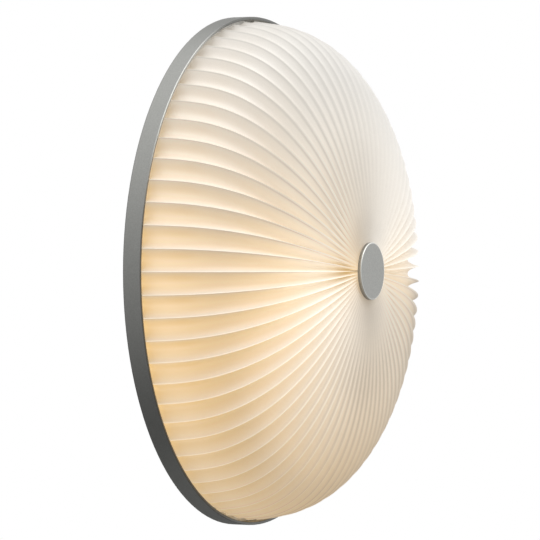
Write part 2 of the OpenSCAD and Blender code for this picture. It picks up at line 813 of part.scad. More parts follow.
// Flat aluminium cap, with a blind hole at its back for the stud
module centre_cap() {
    face = cap_back + cap_t;
    color([0.62, 0.62, 0.60]) on_wall() rotate_extrude() polygon([
        [0, cap_back + cap_hole], [stud_r, cap_back + cap_hole], [stud_r, cap_back], [cap_r, cap_back],
        [cap_r, face - cap_chamfer], [cap_r - cap_chamfer, face], [0, face]
    ]);
}

module cap_stud() {
    color("silver") on_wall() translate([0, 0, cap_back - stud_l])
        cylinder(r = stud_r, h = stud_l + cap_hole);
}

// Frosted bulb: a sphere that runs into a straight neck, hollow inside
bulb_end_x = bulb_tip_x + bulb_glass_l;
neck_l = 5;
glass_t = 1;
globe_steps = 10;
neck_steps = 8;
function bulb_outline(shrink) =
    let (
        r = bulb_r - shrink,
        neck = bulb_neck_r - shrink,
        mid = bulb_tip_x + bulb_r,
        turn = 100,
        start_r = r * sin(turn),
        start_x = mid - r * cos(turn),
        neck_x = bulb_end_x - neck_l
    )
    concat(
        [for (k = [0 : globe_steps])
            let (angle = turn * k / globe_steps)
            [r * sin(angle), mid - r * cos(angle)]],
        [for (k = [1 : neck_steps]) [
            neck + (start_r - neck) * (1 + cos(180 * k / neck_steps)) / 2,
            start_x + (neck_x - start_x) * k / neck_steps
        ]],
        [[neck, bulb_end_x]]
    );

module bulb_glass() {
    open_x = bulb_end_x + over;
    difference() {
        rotate_extrude() polygon(concat(bulb_outline(0), [[0, bulb_end_x]]));
        rotate_extrude() polygon(
            concat(bulb_outline(glass_t), [[bulb_neck_r - glass_t, open_x], [0, open_x]]));
    }
}

// Screw cap of the bulb: a collar round the neck, then the thread's rounded turns
thread_start = holder_rim_x + 1;
thread_end = thread_start + lamp_thread_l;
thread_depth = 0.9;
thread_steps = 36;
cap_shell_in_r = thread_r - 1.5;
collar_l = 4;
collar_t = 0.8;
function thread_outline() =
    [for (k = [0 : thread_steps])
        let (
            run = lamp_thread_l * k / thread_steps,
            trough = (1 - cos(360 * run / thread_pitch)) / 2
        )
        [thread_r - thread_depth * trough, thread_start + run]];

module bulb_cap() {
    collar_in_r = bulb_neck_r + thread_clear;
    collar_r = bulb_neck_r + collar_t;
    rotate_extrude() polygon(concat(
        [
            [collar_in_r, bulb_end_x - collar_l], [collar_r, bulb_end_x - collar_l],
            [collar_r, holder_rim_x - collar_t / 2]
        ],
        thread_outline(),
        [
            [cap_shell_in_r, thread_end], [cap_shell_in_r, bulb_end_x + hole_clear],
            [collar_in_r, bulb_end_x + hole_clear]
        ]
    ));
}

// Insulator and contact button at the end of the bulb
module bulb_contact() {
    plug_r = cap_shell_in_r - hole_clear;
    plug_l = 3;
    button_r = 4.8;
    button_h = 1.4;
    bevel = 0.5;
    tip = holder_rim_x + lamp_cap_l;
    rotate_extrude() polygon([
        [0, thread_end - plug_l], [plug_r, thread_end - plug_l], [plug_r, thread_end + seat_gap],
        [button_r + bevel, tip - button_h], [button_r, tip - button_h], [button_r, tip - bevel],
        [button_r - bevel, tip], [0, tip]
    ]);
}

module bulb_glass_right() {
    color("white") on_lamp_axis(1) bulb_glass();
}

module bulb_cap_right() {
    color("silver") on_lamp_axis(1) bulb_cap();
}

module bulb_contact_right() {
    color("dimgray") on_lamp_axis(1) bulb_contact();
}

module bulb_glass_left() {
    color("white") on_lamp_axis(-1) bulb_glass();
}

module bulb_cap_left() {
    color("silver") on_lamp_axis(-1) bulb_cap();
}

module bulb_contact_left() {
    color("dimgray") on_lamp_axis(-1) bulb_contact();
}

wall_plate();
cable_grommet();
cord_clamp();
clamp_screws();
terminal_block();
terminal_barrels();
terminal_screws();
terminal_fixing_screw();
earth_stud();
earth_tag();
earth_nut();
stem();
stem_nut();
lamp_bracket(1);  // lamp_bracket_right
lamp_bracket(-1);  // lamp_bracket_left
bracket_screws();
lampholder_right();
lampholder_left();
lampholder_shells();
lampholder_contacts();
lampholder_nipples();
nipple_nuts();
live_wires();
neutral_wires();
earth_wire();
rim_ring();
shade_carrier();
carrier_screws();
spreader_ring();
pleated_shade();
hub_sleeve();
hub_washer();
hub_nut();
centre_cap();
cap_stud();
bulb_glass_right();
bulb_cap_right();
bulb_contact_right();
bulb_glass_left();
bulb_cap_left();
bulb_contact_left();
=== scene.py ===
# %% [markdown]
# A round wall light: a pleated foil dome in a satin aluminium band, held by a flat aluminium cap.
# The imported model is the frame. Every piece below is made in metres, in the model's own place:
# the wall is the plane Y = 0, the light faces -Y, and +Z is up.

# %% Load the frame
import json
import math

import bmesh
import bpy
import numpy as np
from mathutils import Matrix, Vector


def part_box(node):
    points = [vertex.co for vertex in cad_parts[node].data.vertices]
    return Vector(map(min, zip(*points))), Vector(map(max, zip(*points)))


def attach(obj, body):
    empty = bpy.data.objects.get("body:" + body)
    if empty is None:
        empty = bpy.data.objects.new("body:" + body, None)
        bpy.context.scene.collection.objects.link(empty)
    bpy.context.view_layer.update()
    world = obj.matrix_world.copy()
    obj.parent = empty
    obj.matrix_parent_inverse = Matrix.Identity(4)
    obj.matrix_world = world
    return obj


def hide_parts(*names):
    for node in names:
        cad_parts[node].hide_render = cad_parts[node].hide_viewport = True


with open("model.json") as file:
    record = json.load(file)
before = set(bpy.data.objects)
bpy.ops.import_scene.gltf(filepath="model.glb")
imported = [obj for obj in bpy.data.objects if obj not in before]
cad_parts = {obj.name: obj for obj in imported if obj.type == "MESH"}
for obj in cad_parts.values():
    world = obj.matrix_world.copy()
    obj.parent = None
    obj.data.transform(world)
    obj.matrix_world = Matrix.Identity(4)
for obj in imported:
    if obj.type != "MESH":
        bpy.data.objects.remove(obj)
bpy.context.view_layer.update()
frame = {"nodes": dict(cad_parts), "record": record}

record = frame["record"]
nodes = frame["nodes"]
slot_of = {entry["node"]: entry["material_slot"] for entry in record["subparts"]}
body_of = {node: body for body, held in record["behaviour"]["bodies"].items() for node in held}
scene = bpy.context.scene

# %% [markdown]
# The driving sizes, in metres. Two points nearer than weld_gap count as one.

# %% Sizes
MM = 0.001
weld_gap = 0.001 * MM
pleat_count = 72
rim_pleat_depth = 8.1 * MM
foil_t = 0.8 * MM
dome_rise = 108.2 * MM
dome_power_r = 2.7
dome_power_z = 2.4
cap_dip = 2.4 * MM
dip_r = 60 * MM


def span(node, axis):
    """Lowest and highest coordinate of a node along one axis, 0 for X, 1 for Y and 2 for Z."""
    low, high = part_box(node)
    return low[axis], high[axis]


ridge_r = span("pleated_shade", 2)[1]
foot_d = -span("pleated_shade", 1)[1]
fold_top = -span("hub_sleeve", 1)[0] - 1.5 * MM
band_front = -span("rim_ring", 1)[0]
band_back = -span("rim_ring", 1)[1]
hub_r = 10 * MM
hub_flange_r = span("hub_sleeve", 2)[1]
cap_r = span("centre_cap", 2)[1]
cap_face = -span("centre_cap", 1)[0]
print("ridges at", round(ridge_r / MM, 2), "mm, band front", round(band_front / MM, 2), "mm out")

# %% [markdown]
# Every new surface is a grid of points, rows by columns, worked out as one numpy array. The faces
# join each point to its neighbours, and a grid that closes on itself joins its last row or column
# back to the first.


# %% Grids
def grid_faces(rows, columns, wrap_rows=False, wrap_columns=False):
    """Quads of a grid: corner (i, j), then (i, j+1), (i+1, j+1) and (i+1, j), counted in row order."""
    i = np.arange(rows if wrap_rows else rows - 1)[:, None]
    j = np.arange(columns if wrap_columns else columns - 1)[None, :]
    ni, nj = (i + 1) % rows, (j + 1) % columns
    quads = np.stack([i * columns + j, i * columns + nj, ni * columns + nj, ni * columns + j], -1)
    return quads.reshape(-1, 4)


def smooth_object(mesh):
    """A new object at the origin that holds the mesh, shaded smooth."""
    mesh.polygons.foreach_set("use_smooth", np.full(len(mesh.polygons), True))
    mesh.update()
    piece = bpy.data.objects.new(mesh.name, mesh)
    scene.collection.objects.link(piece)
    return piece


def mesh_object(name, points, faces):
    """A smooth object made of points and faces."""
    mesh = bpy.data.meshes.new(name)
    mesh.from_pydata(points.reshape(-1, 3).tolist(), [], faces.tolist())
    return smooth_object(mesh)


def grid_object(name, points, **wraps):
    """A smooth object made of one grid of points."""
    return mesh_object(name, points, grid_faces(*points.shape[:2], **wraps))


# %% [markdown]
# A grid that is drawn together to a pole holds many points in one place. They are merged, and then
# all faces turn outwards. A finished piece stands for one imported node: it rides on that node's body
# and takes the finish of that node's slot, and each slot has one finish.


# %% Closing and handing over a piece
def weld(piece):
    """Merges doubled points, which closes poles and seams, and turns all faces outwards."""
    bm = bmesh.new()
    bm.from_mesh(piece.data)
    bmesh.ops.remove_doubles(bm, verts=bm.verts, dist=weld_gap)
    bmesh.ops.recalc_face_normals(bm, faces=bm.faces)
    bm.to_mesh(piece.data)
    bm.free()
    return piece


finishes = {}
finished = set()


def finish_piece(piece, node):
    """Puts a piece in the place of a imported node, on that node's body and with the finish of its slot."""
    slot = slot_of[node]
    piece.data.materials.clear()
    piece.data.materials.append(finishes[slot])
    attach(piece, body_of[node])
    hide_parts(node)
    finished.add(node)
    print(piece.name, len(piece.data.polygons), "faces")


# %% [markdown]
# The camera stands at the light's left and level with it, 65 degrees round from the front. It is
# turned a little aside, so that the light sits in the picture as it does in the photograph. The focal
# length is in pixels of a square image, image_side across.

# %% Camera
image_side = 540
focal_pixels = 3526
sensor_width = 36.0
target = Vector((0, -61 * MM, 0.9 * MM))
camera_azimuth = math.radians(-64.75)
camera_elevation = math.radians(0.31)
camera_distance = 3.109
turned_aside = math.radians(0.542)


def seen_from(azimuth, elevation):
    """Unit vector from the light to a viewer: azimuth 0 is straight in front, positive is to the right."""
    return Vector((
        math.sin(azimuth) * math.cos(elevation),
        -math.cos(azimuth) * math.cos(elevation),
        math.sin(elevation),
    ))


def aimed_object(data, place, looking):
    """A camera or a lamp at a place, turned so that it looks along a direction."""
    aimed = bpy.data.objects.new(data.name, data)
    aimed.location = place
    aimed.rotation_euler = looking.to_track_quat("-Z", "Y").to_euler()
    scene.collection.objects.link(aimed)
    return aimed


camera_data = bpy.data.cameras.new("camera")
camera_data.sensor_width = sensor_width
camera_data.lens = focal_pixels / image_side * sensor_width
camera_place = target + camera_distance * seen_from(camera_azimuth, camera_elevation)
looking = -seen_from(camera_azimuth + turned_aside, camera_elevation)
scene.camera = aimed_object(camera_data, camera_place, looking)
print("lens", round(camera_data.lens, 1), "mm")

# %% [markdown]
# Materials and the world are trees of nodes. This class adds nodes by kind, and feeds their sockets,
# each with a plain value or with another node's output.


# %% Node helper
class NodeTree:
    """Short ways to add and join the nodes of one tree."""

    def __init__(self, tree):
        self.tree = tree

    def node(self, kind, fed=None, **settings):
        """A new node of a kind, with its settings, and what its sockets are fed by name or number."""
        made = self.tree.nodes.new("ShaderNode" + kind)
        for key, value in settings.items():
            setattr(made, key, value)
        for key, value in (fed or {}).items():
            self.feed(value, made.inputs[key])
        return made

    def feed(self, value, socket):
        """Joins a socket to another node's output, or sets it to a plain value."""
        if isinstance(value, bpy.types.NodeSocket):
            self.tree.links.new(value, socket)
        else:
            socket.default_value = value

    def maths(self, operation, *values):
        """The result of a Math node, from numbers or other nodes' outputs."""
        return self.node("Math", dict(enumerate(values)), operation=operation).outputs["Value"]

    def axes(self, vector):
        """The X, Y and Z of a vector."""
        return tuple(self.node("SeparateXYZ", {0: vector}).outputs)

    def blend(self, factor, first, second, kind="MIX"):
        """Two colours blended: the first where the factor is 0, the second on top where it is 1."""
        fed = {"Factor": factor, "A": first, "B": second}
        return self.node("Mix", fed, data_type="RGBA", blend_type=kind).outputs["Result"]

    def ramp(self, source, *stops):
        """Colours along a value: each stop is (position, colour)."""
        made = self.node("ValToRGB", {"Fac": source})
        while len(made.color_ramp.elements) < len(stops):
            made.color_ramp.elements.new(0.5)
        for element, (position, colour) in zip(made.color_ramp.elements, stops):
            element.position = position
            element.color = (*colour, 1.0)
        return made.outputs["Color"]

    def remap(self, source, low, high, start=0.3, end=0.7):
        """A value taken from start..end to low..high, and held at the ends."""
        fed = {"Value": source, "From Min": start, "From Max": end, "To Min": low, "To Max": high}
        return self.node("MapRange", fed).outputs["Result"]

    def share(self, source, start, end):
        """0 up to start and 1 from end on, in proportion between them."""
        return self.remap(source, 0.0, 1.0, start, end)


def shade_of(colour, factor):
    """The same colour, lighter or darker."""
    return tuple(min(1.0, c * factor) for c in colour)


# %% [markdown]
# A finish is one material. It starts from Blender's Principled shader, and a pattern joined to a
# socket takes the place of its plain value. Patterns read Object coordinates, which on a piece at the
# origin are metres in the light's own frame, so each grain has its size in metres.


# %% Material helper
class Finish(NodeTree):
    """One Principled material, with short ways to drive its shader."""

    def __init__(self, name, colour, roughness, metallic=0.0):
        self.material = bpy.data.materials.new(name)
        self.material.use_nodes = True
        super().__init__(self.material.node_tree)
        self.shader = next(n for n in self.tree.nodes if n.type == "BSDF_PRINCIPLED")
        self.set("Base Color", (*colour, 1.0))
        self.set("Roughness", roughness)
        self.set("Metallic", metallic)

    def set(self, socket, value):
        """Gives a socket of the shader a plain value or a pattern."""
        self.feed(value, self.shader.inputs[socket])

    def colour(self, source):
        self.set("Base Color", source)

    def roughness(self, source):
        self.set("Roughness", source)

    def bump(self, source, height, strength):
        """Relief of that height, in metres, on the shader's normal."""
        fed = {"Height": source, "Distance": height, "Strength": strength}
        self.set("Normal", self.node("Bump", fed).outputs["Normal"])

    def place(self, scale=(1.0, 1.0, 1.0)):
        """Object coordinates, stretched by scale."""
        fed = {"Vector": self.node("TexCoord").outputs["Object"], "Scale": scale}
        return self.node("Mapping", fed).outputs["Vector"]

    def painted(self, name, output="Color"):
        """What the mesh itself keeps at each point under that name."""
        return self.node("Attribute", attribute_name=name).outputs[output]

    def noise(self, size, detail=2.0, stretch=(1.0, 1.0, 1.0), place=None):
        """Noise from 0 to 1 whose grains are about size metres across."""
        place = self.place(stretch) if place is None else place
        fed = {"Vector": place, "Scale": 1.0 / size, "Detail": detail}
        return self.node("TexNoise", fed).outputs["Fac"]

    def shades(self, source, tone, low, high, start=0.3, end=0.7):
        """The tone times low up to start, and times high from end on."""
        return self.ramp(source, (start, shade_of(tone, low)), (end, shade_of(tone, high)))


# %% [markdown]
# Satin aluminium: the band and the cap are blasted and then anodised, so they show a fine even
# grain and no brushed lines. A coarse noise moves the colour and a finer one the roughness and the
# relief. The band's front lip has painted light in its colour: a painted highlight high up and painted
# shade lower down. Its back edge has painted shade too. Both are found by their distance from the wall.
# The cap's edge has a painted highlight, a paler ring in its colour. It is where the distances from the
# axis and from the wall add up to more than anywhere else on the cap.


# %% Satin aluminium
front_lip, back_lip, cap_lip = 0.5 * MM, 0.9 * MM, 1.3 * MM
full_lip = 0.6
light_from, light_to = 40 * MM, 220 * MM


def satin_aluminium():
    """Each lip is a middle and a half width. Its painted tone is full up to full_lip of that, and gone at the
    end.
    The band's two lips carry painted highlight and shade, which change with the height, from light_from to
    light_to."""
    tone = (0.335, 0.337, 0.322)
    finish = Finish("satin_aluminium", tone, 0.46, metallic=1.0)
    grain = finish.noise(1.1 * MM, detail=3.0)
    fine = finish.noise(0.35 * MM)
    tones = finish.shades(grain, tone, 0.91, 1.08)
    _, y, z = finish.axes(finish.place())
    height = finish.share(z, light_from, light_to)
    # Painted light in the colour: the front lip is a painted highlight high up and painted shade lower down,
    # the back edge is painted shade, and the cap's edge is a painted highlight.
    dark, pale = shade_of(tone, 0.45), shade_of(tone, 1.3)
    front_lip_painted_light = finish.ramp(height, (0.0, dark), (0.5, pale), (0.85, pale), (0.97, dark))
    back_lip_painted_shade = finish.shades(height, tone, 0.5, 0.6, 0.0, 0.5)
    cap_painted_highlight = (*shade_of(tone, 1.7), 1.0)
    radial = finish.node("VectorMath", {0: finish.place((1.0, 0.0, 1.0))}, operation="LENGTH")
    corner = finish.maths("SUBTRACT", radial.outputs["Value"], y)
    lips = (
        (y, -band_front, front_lip, front_lip_painted_light),
        (y, -band_back, back_lip, back_lip_painted_shade),
        (corner, cap_r + cap_face, cap_lip, cap_painted_highlight),
    )
    for measure, middle, half, painted_tone in lips:
        away = finish.maths("ABSOLUTE", finish.maths("SUBTRACT", measure, middle))
        tones = finish.blend(finish.remap(away, 1.0, 0.0, full_lip * half, half), tones, painted_tone)
    finish.colour(tones)
    finish.roughness(finish.remap(fine, 0.4, 0.54))
    finish.bump(fine, 0.02 * MM, 0.35)
    return finish.material


finishes["satin_aluminium"] = satin_aluminium()

# %% [markdown]
# The folded dome. On the real light a thin foil is scored and folded into pleats that run from
# the band to the cap. The folds outside are sharp, and the foil between two of them sags into a
# soft valley. The ridges follow a superellipse, and each valley lies under its ridges by the depth
# that the folded width leaves over, so the folds deepen as they close up towards the cap. At the
# band the folds spring outwards and nearly fill it, so the ridges flare there, by an amount that
# falls off with the distance in front of the band.


# %% Shape of the folds
half_pitch = math.pi * ridge_r / pleat_count
pleat_face = math.hypot(rim_pleat_depth, half_pitch)
valley_power = 2.5
columns_per_pleat = 16
curve_rows = 30
rim_flare = 2.6 * MM
flare_depth = 18 * MM
under_cap = 1 * MM
hub_radii = np.array([hub_r + 0.3 * MM, 14 * MM, hub_flange_r + 1 * MM, 21.5 * MM])


def pleat_depth(r):
    """Depth of a fold whose straight face keeps its width: root of face squared less half pitch squared."""
    return np.sqrt(pleat_face**2 - (half_pitch * r / ridge_r) ** 2)


def ridge_curve(angle):
    """Ridge line as radius, depth from the wall, and its unit normal, for angles from 0 at the middle.

    The superellipse takes sine and cosine to the powers 2/p and 2/q, less the dip near the cap."""
    s, c = np.sin(angle), np.cos(angle)
    r = ridge_r * s ** (2 / dome_power_r)
    dip = cap_dip * np.maximum(0, 1 - r / dip_r) ** 2
    d = band_front - dip + dome_rise * c ** (2 / dome_power_z)
    nr = dome_power_r * s ** (2 * (dome_power_r - 1) / dome_power_r) / ridge_r
    nd = dome_power_z * c ** (2 * (dome_power_z - 1) / dome_power_z) / dome_rise
    length = np.hypot(nr, nd)
    return np.stack([r, d, nr / length, nd / length], -1)


def ridge_stations():
    """Rows of the foil from the hub to the foot: flat under the cap, the curve, and a short straight foot.

    The curve starts under the cap's edge. Its flare is e to the power of minus the distance in front of
    the band, in flare_depths."""
    start = math.asin(((cap_r - under_cap) / ridge_r) ** (dome_power_r / 2))
    angles = start + (math.pi / 2 - start) * np.linspace(0, 1, curve_rows)
    curve = ridge_curve(angles)
    curve[:, 0] += rim_flare * np.exp(-(curve[:, 1] - band_front) / flare_depth)
    hub_depths = np.array([fold_top, fold_top, fold_top, (fold_top + curve[0, 1]) / 2])
    hub = np.stack([hub_radii, hub_depths, np.zeros_like(hub_radii), np.ones_like(hub_radii)], -1)
    foot_depths = np.array([0.5 * (band_front + foot_d), foot_d])
    foot = np.stack([np.full(2, ridge_r), foot_depths, np.ones(2), np.zeros(2)], -1)
    return np.concatenate([hub, curve, foot])


stations = ridge_stations()
column_total = pleat_count * columns_per_pleat
print("foil rows", len(stations), "columns", column_total)

# %% [markdown]
# Across one pleat the depth goes from 0 at the ridge to the full depth in the valley as
# 1 - (1 - w) to the power 2.5, where w is the distance from the ridge in half pitches. That is
# steep and sharp at the ridge and flat in the valley. The columns crowd towards the ridges, where
# the shape turns fastest. The foil has an outer and an inner skin, closed at the hub and the foot.


# %% Mesh of the foil
first_ridge = math.radians(-1.84)
drift_across = math.radians(0.99)
drift_up = math.radians(1.81)
crowding = 0.75
uneven = 0.05


def pleat_columns():
    """Angle of each column round the dome, its distance from the ridge, 0 to 1, and its side of it.

    The columns crowd at the ridges: the even share of a pleat loses crowding times its own sine. Folds
    laid by hand drift a little: the angle loses a sine and a cosine of about one and two degrees."""
    s = np.arange(columns_per_pleat) / columns_per_pleat
    s = s - crowding * np.sin(2 * math.pi * s) / (2 * math.pi)
    places = (np.arange(pleat_count)[:, None] + s[None, :]).ravel()
    within = places - np.floor(places)
    even = 2 * math.pi * places / pleat_count + first_ridge
    angle = even - drift_across * np.sin(even) - drift_up * np.cos(even)
    return angle, 1 - np.abs(1 - 2 * within), np.where(within < 0.5, 1.0, -1.0)


def outwards(radius, depth, angle):
    """Points round the light's own axis: radius and angle in the wall's plane, depth out from the wall."""
    radius, depth, angle = np.broadcast_arrays(radius, depth, angle)
    return np.stack([radius * np.cos(angle), -depth, radius * np.sin(angle)], -1)


def foil_skin(extra):
    """Points of one skin: a ridge point moved in along the dome's normal by the fold's depth and extra.

    Half of the pleats are a little shallower than the rest, by up to half of uneven."""
    angle, w, _ = pleat_columns()
    r, d, nr, nd = (stations[:, k][:, None] for k in range(4))
    rng = np.random.default_rng(7)
    vary = np.minimum(1 + uneven * (rng.random(pleat_count) - 0.5), 1)
    fold = pleat_depth(r) * (1 - (1 - w[None, :]) ** valley_power)
    fold = fold * np.repeat(vary, columns_per_pleat)[None, :] + extra
    return outwards(r - fold * nr, d - fold * nd, angle[None, :])


def folded_foil():
    """The outer skin from the hub to the foot, then the inner skin back, as one closed grid."""
    points = np.concatenate([foil_skin(0.0), foil_skin(foil_t)[::-1]])
    return grid_object("folded_foil", points, wrap_rows=True, wrap_columns=True)


foil = folded_foil()


def crease_ridges(piece):
    """Marks the edges along the ridges as sharp, on both skins."""
    mesh = piece.data
    ends = np.zeros(2 * len(mesh.edges), np.int32)
    mesh.edges.foreach_get("vertices", ends)
    column = ends.reshape(-1, 2) % column_total
    on_ridge = (column[:, 0] == column[:, 1]) & (column[:, 0] % columns_per_pleat == 0)
    sharp = mesh.attributes.new("sharp_edge", "BOOLEAN", "EDGE")
    sharp.data.foreach_set("value", on_ridge)
    return int(on_ridge.sum())


print("sharp edges", crease_ridges(foil))

# %% [markdown]
# The light that comes through the foil is painted as emission, because it then costs no noise and
# goes with the model. It is worked out at each point of the mesh as two parts: warm light, which the
# foil has coloured, and clear light. The clear light is partly light through the foil and partly
# painted highlight and shade of the light that falls on the foil from outside. Round the dome, each
# part is a sum of lobes. A lobe has an amount, a direction in degrees, with 0 to the right and 90 at
# the top, and a power that narrows it. One sum holds near the cap and one at the rim, and the radius
# blends the first into the second. The lamps lie left and right of the middle, and the lower half gets
# most of the warm light. A zone is a pair of radii, 0 up to the first and 1 from the second on. A ring
# is a radius and a width.


# %% Warm and clear light
warm_light = np.array([0.55, 0.35, 0.13])
clear_light = np.array([1.0, 0.98, 0.93])
near_zone = (45 * MM, 175 * MM)
lamp_spot = (-82 * MM, -6 * MM)
lamp_spot_r = 30 * MM
warm_lost, clear_gained = 0.25, 0.14
halfway_ring = (125 * MM, 45 * MM)
cap_shadow_ring = (25 * MM, 24 * MM)


def rising(value, start, end):
    """0 up to start and 1 from end on, in proportion between them."""
    return np.clip((value - start) / (end - start), 0, 1)


def bell(value, middle, width):
    """e to the power of minus the square of the distance from the middle, counted in widths."""
    return np.exp(-(((value - middle) / width) ** 2))


def lobe(angle, middle, power):
    """Raised cosine round an angle: half of one plus the cosine of the distance, to a power."""
    return (0.5 + 0.5 * np.cos(angle - math.radians(middle))) ** power


def lobes(angle, *terms):
    """Sum of lobes, each as its amount, its middle in degrees and its power."""
    return sum(amount * lobe(angle, middle, power) for amount, middle, power in terms)


def lamp_glow(r, angle):
    """The left lamp's own patch on the foil: a bell round lamp_spot, where warm light turns clear."""
    away = np.hypot(r * np.cos(angle) - lamp_spot[0], r * np.sin(angle) - lamp_spot[1])
    return np.exp(-0.5 * (away / lamp_spot_r) ** 2)


def warm_share(r, angle):
    """Warm light in a valley. The rim's left lobe narrows inwards, because the lamp behind it is round."""
    t = rising(r, *near_zone)
    near = 0.32 + lobes(angle, (0.56, 178, 5), (0.33, 0, 12), (-0.08, 50, 4))
    rim = 0.08 + lobes(angle, (0.57, -87, 2), (0.88, -174, 18 - 12 * t), (0.28, -5, 18))
    return near * (1 - t) + rim * t - warm_lost * lamp_glow(r, angle)


def clear_share(r, angle):
    """Clear light in a valley: even near the cap, and at the rim only a little, most of it at the top.

    A ring halfway out gains some at the top and the bottom, and close to the cap a painted shadow of
    the cap takes some away, most at the left."""
    t = rising(r, *near_zone)
    near = 0.24 + lobes(angle, (-0.08, 150, 2), (-0.03, -90, 3), (0.13, 70, 5))
    rim = 0.08 + lobes(angle, (-0.05, 28, 6), (0.16, 110, 6), (-0.12, -172, 6))
    gained = lobes(angle, (0.05, 105, 6), (0.02, -80, 6)) * bell(r, *halfway_ring)
    # Painted shadow of the cap: a ring of clear light taken away round it.
    cap_shadow = lobes(angle, (0.20, 180, 2), (0.12, -148, 16), (0.08, 148, 16), (-0.09, 180, 12))
    cap_shadow = cap_shadow * bell(r, *cap_shadow_ring)
    return near * (1 - t) + rim * t + gained - cap_shadow + clear_gained * lamp_glow(r, angle)


print("at the left of the rim", [share(ridge_r, math.pi).round(3) for share in (warm_share, clear_share)])

# %% [markdown]
# Across a fold the two parts change with w, the distance from the crest in half pitches: 0 at the
# crest and 1 in the valley. Where two layers of foil meet at a crest they hold the warm light back.
# Along the crest runs a pale line of painted highlight, and under it a thin dark line of painted
# shade, where the next layer shades it. Side is 1 or -1, and times the cosine and the sine of the
# angle it says how far that face of the fold looks up and left. A face that looks down gains clear
# light from below, and one that looks up loses some. At the upper right both lines fade, and the
# clear light moves into the valleys.


# %% The two lines of a fold
crest_line_w = 0.34 * MM
crease_w = 0.22 * MM
crease_beside = 1.2 * crest_line_w
crease_dark = 0.3
full_width_r, narrowest = 110 * MM, 0.3
lines_lost = 0.8


def from_crest(r, w):
    """Distance from the crest in metres, along the folds' own width at that radius."""
    return w * half_pitch * r / ridge_r


def lines_kept(angle):
    """Share of the two thin lines that shows: all but at the upper right."""
    return 1 - lines_lost * lobe(angle, 55, 3)


def crease_line(r, angle, w, side):
    """The painted shade of the dark line: a bell beside the crest line, narrower near the cap, gone where a
    face looks up.
    """
    under = 1 - np.clip(side * np.cos(angle), 0, 1)
    width = crease_w * np.clip(r / full_width_r, narrowest, 1)
    return under * lines_kept(angle) * bell(from_crest(r, w), crease_beside, width)


print("dark line", round(crease_beside / MM, 2), "mm beside the crest")

# %% [markdown]
# Between the lines, each part of the light is an amount times a power of w or of (1 - w). The higher
# the power, the closer the part keeps to the valley or to the crest. Near the cap, where the folds
# are close and light each other, the whole is turned down.


# %% Light across a fold
rim_zone, drop_zone = (195 * MM, 218 * MM), (30 * MM, 130 * MM)
upper_zone, gain_zone = (70 * MM, 130 * MM), (40 * MM, 125 * MM)
least_drop, level_drop, drop_power = 0.12, 0.5, 2.2
rim_warmth = 0.2
down_soft, down_sharp, up_lost = 0.13, 0.07, 0.28
crest_all, crest_level = 0.06, 0.13
upper_crest, valley_gain, valley_lost, foot_gain = 0.14, 0.12, 0.17, 0.10
patch_ring = (216 * MM, 6 * MM)
patch_warm, patch_clear = 0.08, -0.10
least_gain, full_gain = 0.54, 0.86


def warm_across(r, angle, w):
    """Warm light: it drops towards the crest, most where the folds lie level, and gains at the rim."""
    drop = least_drop + level_drop * np.abs(np.cos(angle)) ** 3 * rising(r, *drop_zone)
    gain = 1 + rim_warmth * rising(r, *rim_zone)
    return warm_share(r, angle) * gain * (1 - drop * (1 - w) ** drop_power)


def clear_across(r, angle, w, side):
    """Clear light: the faces' gain and loss, the crest line, and what the crests gain at the top, the
    valleys at the upper right and the foot of the folds at the lower left."""
    up, left = side * np.cos(angle), side * np.sin(angle)
    looks_up, looks_down, looks_right = (np.clip(way, 0, 1) for way in (up, -up, -left))
    faces = looks_down * (down_soft * (1 - w) ** 1.5 + down_sharp * (1 - w) ** 8)
    faces = faces - up_lost * looks_up * w * (1 - w)
    # The crest line is a painted highlight, added as clear light.
    line = (crest_all + crest_level * np.abs(np.cos(angle)) ** 1.5) * lines_kept(angle)
    line = line * bell(from_crest(r, w), 0, crest_line_w)
    crest = upper_crest * lobe(angle, 95, 4) * (1 - rising(r, *upper_zone)) * ((1 - w) ** 6 - 0.5)
    valley = lobe(angle, 65, 2) * (valley_gain * (w**2 - 0.45) - valley_lost * looks_right * w)
    foot = foot_gain * lobe(angle, -150, 3) * rising(r, *rim_zone) ** 3
    return clear_share(r, angle) + faces + line + crest + valley + foot


def foil_light(r, angle, w, side):
    """Emission of the foil: warm and clear light in their colours, less towards the cap and in the crease.

    A patch just inside the band, on faces that look down, turns clear light into warm light: a bell
    across the radius, times w and (1 - w)."""
    patch = bell(r, *patch_ring) * (1 - side * np.cos(angle)) * 2 * w * (1 - w)
    warm = warm_across(r, angle, w) + patch_warm * patch
    clear = clear_across(r, angle, w, side) + patch_clear * patch
    gain = least_gain + (full_gain - least_gain) * rising(r, *gain_zone)
    gain = gain * (1 - crease_dark * crease_line(r, angle, w, side))
    return gain[..., None] * (warm[..., None] * warm_light + clear[..., None] * clear_light)


print("in a valley at the left of the rim", foil_light(ridge_r, math.pi, 1.0, 1.0).round(3))


# %% [markdown]
# The foil keeps the result as attributes of its mesh, so the light goes with it when the shade is
# lifted off. One attribute holds the light, one the painted shade of the dark crease, which darkens the
# foil's colour, and one runs with the folds: the way round the dome, and the way along a fold, which is
# squeezed. A colour can't be negative, so the way round starts one metre on.


# %% Paint the foil
along_squeeze = 0.06
round_start = 1.0


def colour_attribute(mesh, name, values):
    """Keeps one colour per point under a name that a material can read."""
    attribute = mesh.attributes.new(name, "FLOAT_COLOR", "POINT")
    full = np.concatenate([values, np.ones(values.shape[:-1] + (1,))], -1)
    attribute.data.foreach_set("color", np.maximum(full, 0).astype(np.float32).ravel())


